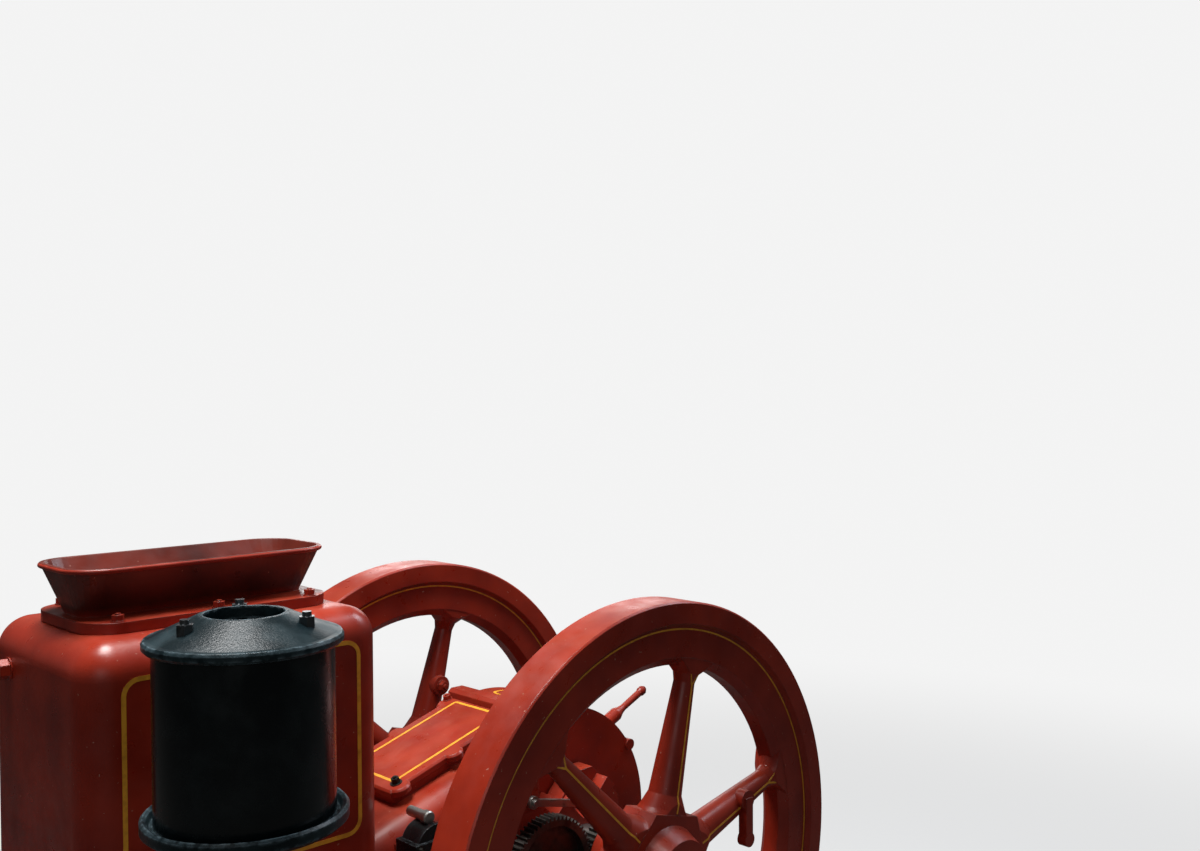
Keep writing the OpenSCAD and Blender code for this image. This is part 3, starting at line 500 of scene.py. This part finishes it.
coverLine = {
    "left": -206, "right": -5, "half": 53, "up": 23, "radius": 4, "steps": 3,
    "width": 4.5, "proud": 0.25, "sunk": 0.05,
}
loop = roundedLoop(coverLine["left"], -coverLine["half"], coverLine["right"], coverLine["half"],
                   coverLine["radius"], coverLine["steps"])
path = [onDeck(x, y, coverLine["up"]) for x, y in loop]
strip, faces = ribbon(path, [deckUp] * len(path), coverLine["width"], coverLine["proud"], coverLine["sunk"])
meshObject("cover_line", inWorld(strip), faces, "line", "frame_body")

hoodLine = {
    "low": 40, "high": 91.5,  # degrees round the hood
    "half": 61, "hood": 191, "radius": 10, "steps": 4, "step": 5,
    "width": 4.5, "proud": 0.25, "sunk": 0.15,
}
arc = math.radians(1) * hoodLine["hood"]
loop = roundedLoop(hoodLine["low"] * arc, -hoodLine["half"], hoodLine["high"] * arc, hoodLine["half"],
                   hoodLine["radius"], hoodLine["steps"])
path, ups = [], []
for spot in dense([(s, y, 0) for s, y in loop], hoodLine["step"]):
    turn = spot.x / hoodLine["hood"]
    out = Vector((math.cos(turn), 0, math.sin(turn)))
    path.append(out * hoodLine["hood"] + Vector((0, spot.y, 0)))
    ups.append(out)
strip, faces = ribbon(path, ups, hoodLine["width"], hoodLine["proud"], hoodLine["sunk"])
meshObject("hood_line", inWorld(strip), faces, "line", "frame_body")

rimLine = {"radius": 341, "outer": 309, "inner": 258, "step": 3, "width": 2.4, "proud": 0.25, "sunk": 0.05}
spokeLine = {
    "count": 6, "first": 14.6,  # degrees
    "middle": 288.5, "start": 80, "end": 262, "step": 2,
    "fork": 20, "forkOff": 9, "forkBack": 2, "forkSteps": 5,
    "width": 2.8, "proud": 0.3, "sunk": 0.3,
}
# radius of a spoke from root to tip, at three distances in the flare at the web, and in the one at the rim
spokeForm = {
    "from": 30, "root": 28.5, "length": 266, "tip": 14,
    "flare": ((62, 46), (84, 33), (108, 22.5)),
    "rimFrom": 256, "rimRise": 0.25,
    "webEnd": 120, "webFace": 29,
}


def spokeFace(along, off):
    # how far a spoke's front stands out of its middle plane, with the flares at the web and the rim
    form = spokeForm
    radius = form["root"] - (form["root"] - form["tip"]) * (along - form["from"]) / form["length"]
    (near, wide), (middle, less), (far, least) = form["flare"]
    if along <= middle:
        radius = max(radius, wide - (wide - less) * (along - near) / (middle - near))
    elif along < far:
        radius = max(radius, less - (less - least) * (along - middle) / (far - middle))
    if along > form["rimFrom"]:
        radius = max(radius, form["tip"] + (along - form["rimFrom"]) * form["rimRise"])
    depth = math.sqrt(max(radius * radius - off * off, 1))
    return min(depth, form["webFace"]) if along < form["webEnd"] else depth


def rimRibbon(y, facing):
    turns = [math.radians(a) for a in range(0, 360, rimLine["step"])]
    ring = [(rimLine["radius"] * math.cos(a), y, rimLine["radius"] * math.sin(a)) for a in turns]
    return ribbon(ring, [(0, facing, 0)] * len(ring), rimLine["width"], rimLine["proud"], rimLine["sunk"])


def spokeRibbons(turn, side):
    # a stem along the front of the spoke at that angle, and the two arms of its fork
    out, across = Vector((math.cos(turn), 0, math.sin(turn))), Vector((-math.sin(turn), 0, math.cos(turn)))
    runs = [[(along, 0) for along in range(spokeLine["start"], spokeLine["end"] + 1, spokeLine["step"])]]
    shares = [k / spokeLine["forkSteps"] for k in range(spokeLine["forkSteps"] + 1)]
    forkStart = spokeLine["end"] - spokeLine["forkBack"]
    for way in (-1, 1):
        runs.append([(forkStart + spokeLine["fork"] * t, way * spokeLine["forkOff"] * t) for t in shares])
    strips = []
    for run in runs:
        path = [out * along + across * off + Vector((0, side * (spokeLine["middle"] + spokeFace(along, off)), 0))
                for along, off in run]
        strips.append(ribbon(path, [(0, side, 0)] * len(path), spokeLine["width"], spokeLine["proud"],
                             spokeLine["sunk"], False))
    return strips


for side, label in bothSides:
    strips = [rimRibbon(side * rimLine["outer"], side), rimRibbon(side * rimLine["inner"], -side)]
    for i in range(spokeLine["count"]):
        strips += spokeRibbons(math.radians(spokeLine["first"] + i * 360 / spokeLine["count"]), side)
    vertices, faces = joined(strips)
    meshObject(f"wheel_lines_{label}", inWorld(vertices), faces, "line", "crank_body")
print("paint lines ruled")

# Fastenings: one node tree sets a head on every point, along the point's direction and at its size.
# Its inputs are shares of the width across the flats.
headInputs = {
    "Sides": ("Int", 6), "Head Height": ("Float", 0.7), "Washer Width": ("Float", 1.3),
    "Washer Height": ("Float", 0.12), "Stud Width": ("Float", 0.5), "Stud Height": ("Float", 0.2),
    "Turn Seed": ("Int", 1), "Finish": ("Material", None),
}
headForm = {"roundSides": 24, "corner": 0.56, "mostTurn": 1.047}  # corner radius as a share, turn in radians


def fasteningTree():
    tree = bpy.data.node_groups.new("fastening", "GeometryNodeTree")
    tree.interface.new_socket("Points", in_out="INPUT", socket_type="NodeSocketGeometry")
    sockets = {}
    for label, (kind, value) in headInputs.items():
        socket = tree.interface.new_socket(label, in_out="INPUT", socket_type="NodeSocket" + kind)
        if value is not None:
            socket.default_value = value
        sockets[label] = socket.identifier
    tree.interface.new_socket("Geometry", in_out="OUTPUT", socket_type="NodeSocketGeometry")
    given = addNode(tree, "NodeGroupInput").outputs

    def standing(sides, radius, height, bottom):
        # upright prism on a height
        shape = addNode(tree, "GeometryNodeMeshCylinder", {"Vertices": sides, "Radius": radius, "Depth": height})
        middle = addNode(tree, "ShaderNodeMath", {"operation": "MULTIPLY_ADD", 0: height, 1: 0.5, 2: bottom})
        lift = addNode(tree, "ShaderNodeCombineXYZ", {"Z": middle.outputs[0]})
        return addNode(tree, "GeometryNodeTransform",
                       {"Geometry": shape.outputs["Mesh"], "Translation": lift.outputs[0]}).outputs[0]

    washerRadius, studRadius = (
        addNode(tree, "ShaderNodeMath", {"operation": "MULTIPLY", 0: given[width], 1: 0.5}).outputs[0]
        for width in ("Washer Width", "Stud Width"))
    headTop = addNode(tree, "ShaderNodeMath",
                      {"operation": "ADD", 0: given["Washer Height"], 1: given["Head Height"]}).outputs[0]
    whole = addNode(tree, "GeometryNodeJoinGeometry")
    for sides, radius, height, bottom in (
            (headForm["roundSides"], washerRadius, given["Washer Height"], 0.0),
            (given["Sides"], headForm["corner"], given["Head Height"], given["Washer Height"]),
            (headForm["roundSides"], studRadius, given["Stud Height"], headTop)):
        tree.links.new(standing(sides, radius, height, bottom), whole.inputs[0])
    aim = addNode(tree, "GeometryNodeInputNamedAttribute", {"data_type": "FLOAT_VECTOR", "Name": "aim"})
    size = addNode(tree, "GeometryNodeInputNamedAttribute", {"data_type": "FLOAT", "Name": "size"})
    lean = addNode(tree, "FunctionNodeAlignRotationToVector", {"axis": "Z", "Vector": aim.outputs[0]})
    # inputs 2 and 3 and output 1 of Random Value are those for a float
    turn = addNode(tree, "FunctionNodeRandomValue",
                   {"data_type": "FLOAT", 2: 0.0, 3: headForm["mostTurn"], "Seed": given["Turn Seed"]})
    spin = addNode(tree, "ShaderNodeCombineXYZ", {"Z": turn.outputs[1]})
    spun = addNode(tree, "FunctionNodeRotateRotation",
                   {"rotation_space": "LOCAL", "Rotation": lean.outputs[0], "Rotate By": spin.outputs[0]})
    placed = addNode(tree, "GeometryNodeInstanceOnPoints",
                     {"Points": given["Points"], "Instance": whole.outputs[0], "Rotation": spun.outputs[0],
                      "Scale": size.outputs[0]})
    real = addNode(tree, "GeometryNodeRealizeInstances", {"Geometry": placed.outputs[0]})
    done = addNode(tree, "GeometryNodeSetMaterial", {"Geometry": real.outputs[0], "Material": given["Finish"]})
    addNode(tree, "NodeGroupOutput", {0: done.outputs[0]})
    return tree, sockets


headTree, headSockets = fasteningTree()


def fasten(name, spots, finish, body, shape):
    # spots: place in mm from the axle, direction, width across the flats in mm
    mesh = bpy.data.meshes.new(name + "_points")
    mesh.from_pydata([tuple(at(*place)) for place, aim, size in spots], [], [])
    aims = [c for place, aim, size in spots for c in Vector(aim).normalized()]
    sizes = [size * mm for place, aim, size in spots]
    mesh.attributes.new("aim", "FLOAT_VECTOR", "POINT").data.foreach_set("vector", aims)
    mesh.attributes.new("size", "FLOAT", "POINT").data.foreach_set("value", sizes)
    holder = bpy.data.objects.new(name + "_points", mesh)
    bpy.context.scene.collection.objects.link(holder)
    modifier = holder.modifiers.new("fastening", "NODES")
    modifier.node_group = headTree
    for label, value in shape.items():
        modifier[headSockets[label]] = value
    modifier[headSockets["Finish"]] = finishes[finish]
    evaluated = holder.evaluated_get(bpy.context.evaluated_depsgraph_get())
    built = bpy.data.objects.new(name, bpy.data.meshes.new_from_object(evaluated))
    bpy.context.scene.collection.objects.link(built)
    holder.modifiers.remove(modifier)
    bpy.data.objects.remove(holder)
    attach(built, body)


toSky, toPlain, toGear, toHeadEnd, toCrank = (0, 0, 1), (0, 1, 0), (0, -1, 0), (-1, 0, 0), (1, 0, 0)
offCap = (1, 0, 1)  # square to the caps' inclined joint


def onCap(u, y, w):
    # a place on a bearing cap, along and square to the inclined joint
    return ((u + w) * math.sqrt(0.5), y, (w - u) * math.sqrt(0.5))


def grid(xs, ys, zs, aim, size):
    return [((x, y, z), aim, size) for x in xs for y in ys for z in zs]


def circle(centre, across, radius, first, count, aim, size):
    # spots round an upright circle, from the first angle in degrees
    turns = [math.radians(first + 360 / count * k) for k in range(count)]
    return [(Vector(centre) + Vector(across) * radius * math.cos(a) + Vector(toSky) * radius * math.sin(a),
             aim, size) for a in turns]


# places in mm from the axle and widths across the flats in mm, and the shape of all heads of a colour
redHeads = {
    "flange": grid((-677, -553, -428), (-83, 83), (418,), toSky, 13),
    "cover": [(onDeck(x, y, 23), deckUp, 12) for x, y in ((-208, 62), (-4, -74), (-4, 75))],
    "caps": [(onCap(u, y, 24), offCap, 20) for y in (-136, 136) for u in (-56, 48)],
    "head": circle((-804, 0, 0), toPlain, 98, 30, 6, toHeadEnd, 24),
    "port": circle((-624, -168, 64), toCrank, 36, 45, 4, toGear, 11),
    "plug": [((-742, 78, 349), toHeadEnd, 22)],
    "mixer": grid((-799, -747), (138,), (0,), toPlain, 11),
}
redShape = {"Head Height": 0.52, "Washer Height": 0.08, "Washer Width": 1.3, "Stud Height": 0.14, "Turn Seed": 3}
darkHeads = {
    "coverCorner": [(onDeck(-207, -60, 23), deckUp, 11)],
    "feet": grid((-565, 135), (-147.5, 147.5), (-378,), toSky, 27),
    "timbers": [((x, y, -462.5), (0, y, 0), 24) for x in (-825, 315) for y in (-169, 169)],
    "case": grid((-331, -273), (-185,), (20, 86), toGear, 7),
}
darkShape = {"Head Height": 0.66, "Washer Height": 0.1, "Washer Width": 1.6, "Turn Seed": 8}
bossHead = {"turn": math.radians(74.6), "radius": 165, "face": 260.5, "size": 17}
bossPlace = (bossHead["radius"] * math.cos(bossHead["turn"]), bossHead["face"],
             bossHead["radius"] * math.sin(bossHead["turn"]))
bossShape = {"Head Height": 0.5, "Washer Height": 0.08, "Turn Seed": 5}
fasten("red_fastenings", sum(redHeads.values(), []), "red", "frame_body", redShape)
fasten("dark_fastenings", sum(darkHeads.values(), []), "darkSteel", "frame_body", darkShape)
fasten("boss_bolt", [(bossPlace, toGear, bossHead["size"])], "wheelRed", "crank_body", bossShape)
print("fastenings set")

# Bright pin on the bed's gear side, beside the magneto: radius and distance along it in mm
tripPin = {
    "profile": [(7, -2), (7, 30), (9, 31), (9, 40), (7.5, 42)],
    "place": (-305, -130, 118),
    "sides": 24,
    "sharp": math.radians(35),  # edges sharper than this aren't smoothed
}


def turned(name, form, direction, finish, body):
    # a shape turned round a line
    profile, sides = form["profile"], form["sides"]
    toward = Vector(direction).to_track_quat("Z", "Y").to_matrix()
    turns = [math.tau * k / sides for k in range(sides)]
    vertices = [Vector(form["place"]) + toward @ Vector((r * math.cos(a), r * math.sin(a), h))
                for r, h in profile for a in turns]
    last = (len(profile) - 1) * sides
    faces = [(i + k, i + (k + 1) % sides, i + sides + (k + 1) % sides, i + sides + k)
             for i in range(0, last, sides) for k in range(sides)]
    faces += [tuple(range(sides - 1, -1, -1)), tuple(last + k for k in range(sides))]
    built = meshObject(name, inWorld(vertices), faces, finish, body)
    for face in built.data.polygons:
        face.use_smooth = len(face.vertices) == 4
    built.data.set_sharp_from_angle(angle=form["sharp"])


turned("trip_pin", tripPin, toGear, "steel", "frame_body")

# Rolled edge round the funnel's mouth, cleaner than the funnel
mouth = {"left": -720, "right": -386, "half": 72, "z": 474.9, "corner": 45, "steps": 10, "radius": 3, "sides": 10}


def bead(path, radius, sides):
    # vertices and faces of a round bead along a closed level path in mm
    count, points = len(path), [Vector(p) for p in path]
    vertices, faces = [], []
    for i, point in enumerate(points):
        side = (points[(i + 1) % count] - points[i - 1]).normalized().cross(Vector(toSky))
        for k in range(sides):
            a = math.tau * k / sides
            vertices.append(point + side * radius * math.cos(a) + Vector(toSky) * radius * math.sin(a))
    for i in range(count):
        start, after = i * sides, (i + 1) % count * sides
        faces += [(start + k, start + (k + 1) % sides, after + (k + 1) % sides, after + k)
                  for k in range(sides)]
    return vertices, faces


loop = roundedLoop(mouth["left"], -mouth["half"], mouth["right"], mouth["half"], mouth["corner"],
                   mouth["steps"])
vertices, faces = bead([(x, y, mouth["z"]) for x, y in loop], mouth["radius"], mouth["sides"])
rolled = meshObject("funnel_bead", inWorld(vertices), faces, "red", "frame_body")
for face in rolled.data.polygons:
    face.use_smooth = True
print("small fittings made")

# Floor, world and lamps: a pale floor that fades to white from fadeFrom to fadeTo metres, and soft light
studio = {
    "size": 60, "floor": "#f1f0ee", "shadow": "#5e5b58", "roughness": 0.8,
    "fadeFrom": 0.7, "fadeTo": 4.0, "least": 0.25,
    "white": (0.9, 0.9, 0.9, 1), "sky": 0.1,
}
lamps = {  # metres and watts
    "key": {"place": (-0.35, 0.15, 2.7), "target": (-0.1, 0, 0.5), "size": (1.0, 0.7), "power": 62},
    "back": {"place": (3.2, 3.6, 2.2), "target": (0.1, 0, 0.8), "size": (2.4, 1.0), "power": 26},
    "window": {"place": (2.0, -0.5, 2.9), "target": (0, 0, 0.6), "size": (0.7, 1.3), "power": 34,
               "colour": (0.82, 0.9, 1)},
    "fill": {"place": (-2.6, -2.8, 2.0), "target": (-0.2, 0, 0.5), "size": (1.8, 1.4), "power": 8},
}


def makeFloor():
    bpy.ops.mesh.primitive_plane_add(size=studio["size"], location=(0, 0, 0))
    floor = bpy.context.object
    floor.name = "floor"
    material, tree, shader, place = startMaterial("paleFloor")
    shader.inputs["Roughness"].default_value = studio["roughness"]
    seen = addNode(tree, "ShaderNodeLightPath").outputs["Is Camera Ray"]
    colour = layered(tree, studio["shadow"], [(seen, studio["floor"])])
    tree.links.new(colour, shader.inputs["Base Color"])
    distance = addNode(tree, "ShaderNodeVectorMath", {"operation": "LENGTH", 0: place.outputs["Object"]})
    fade = addNode(tree, "ShaderNodeMapRange",
                   {"interpolation_type": "SMOOTHSTEP", "Value": distance.outputs["Value"],
                    "From Min": studio["fadeFrom"], "From Max": studio["fadeTo"], "To Min": studio["least"]})
    share = addNode(tree, "ShaderNodeMath", {"operation": "MULTIPLY", 0: fade.outputs["Result"], 1: seen})
    glow = addNode(tree, "ShaderNodeEmission", {"Color": studio["white"]})
    faded = addNode(tree, "ShaderNodeMixShader", {0: share.outputs[0], 1: shader.outputs[0], 2: glow.outputs[0]})
    tree.links.new(faded.outputs[0], tree.nodes["Material Output"].inputs["Surface"])
    floor.data.materials.append(material)


def makeWorld():
    world = bpy.data.worlds.new("studio")
    bpy.context.scene.world = world
    world.use_nodes = True
    tree = world.node_tree
    tree.nodes.clear()
    paths = addNode(tree, "ShaderNodeLightPath").outputs
    seen = addNode(tree, "ShaderNodeMath",
                   {"operation": "MAXIMUM", 0: paths["Is Camera Ray"], 1: paths["Is Transmission Ray"]})
    lit = addNode(tree, "ShaderNodeBackground", {"Color": (1, 1, 1, 1), "Strength": studio["sky"]})
    shown = addNode(tree, "ShaderNodeBackground", {"Color": studio["white"], "Strength": 1.0})
    mixed = addNode(tree, "ShaderNodeMixShader", {0: seen.outputs[0], 1: lit.outputs[0], 2: shown.outputs[0]})
    addNode(tree, "ShaderNodeOutputWorld", {0: mixed.outputs[0]})


def areaLight(name, place, target, size, power, colour=(1, 1, 1)):
    data = bpy.data.lights.new(name, "AREA")
    data.shape = "RECTANGLE"
    data.size, data.size_y = size
    data.energy = power
    data.color = colour
    lamp = bpy.data.objects.new(name, data)
    bpy.context.scene.collection.objects.link(lamp)
    lamp.location = place
    lamp.rotation_euler = (Vector(target) - Vector(place)).to_track_quat("-Z", "Y").to_euler()


makeFloor()
makeWorld()
for name, lamp in lamps.items():
    areaLight(name, **lamp)
bpy.context.scene.view_settings.view_transform = "Standard"
print("floor and light set")
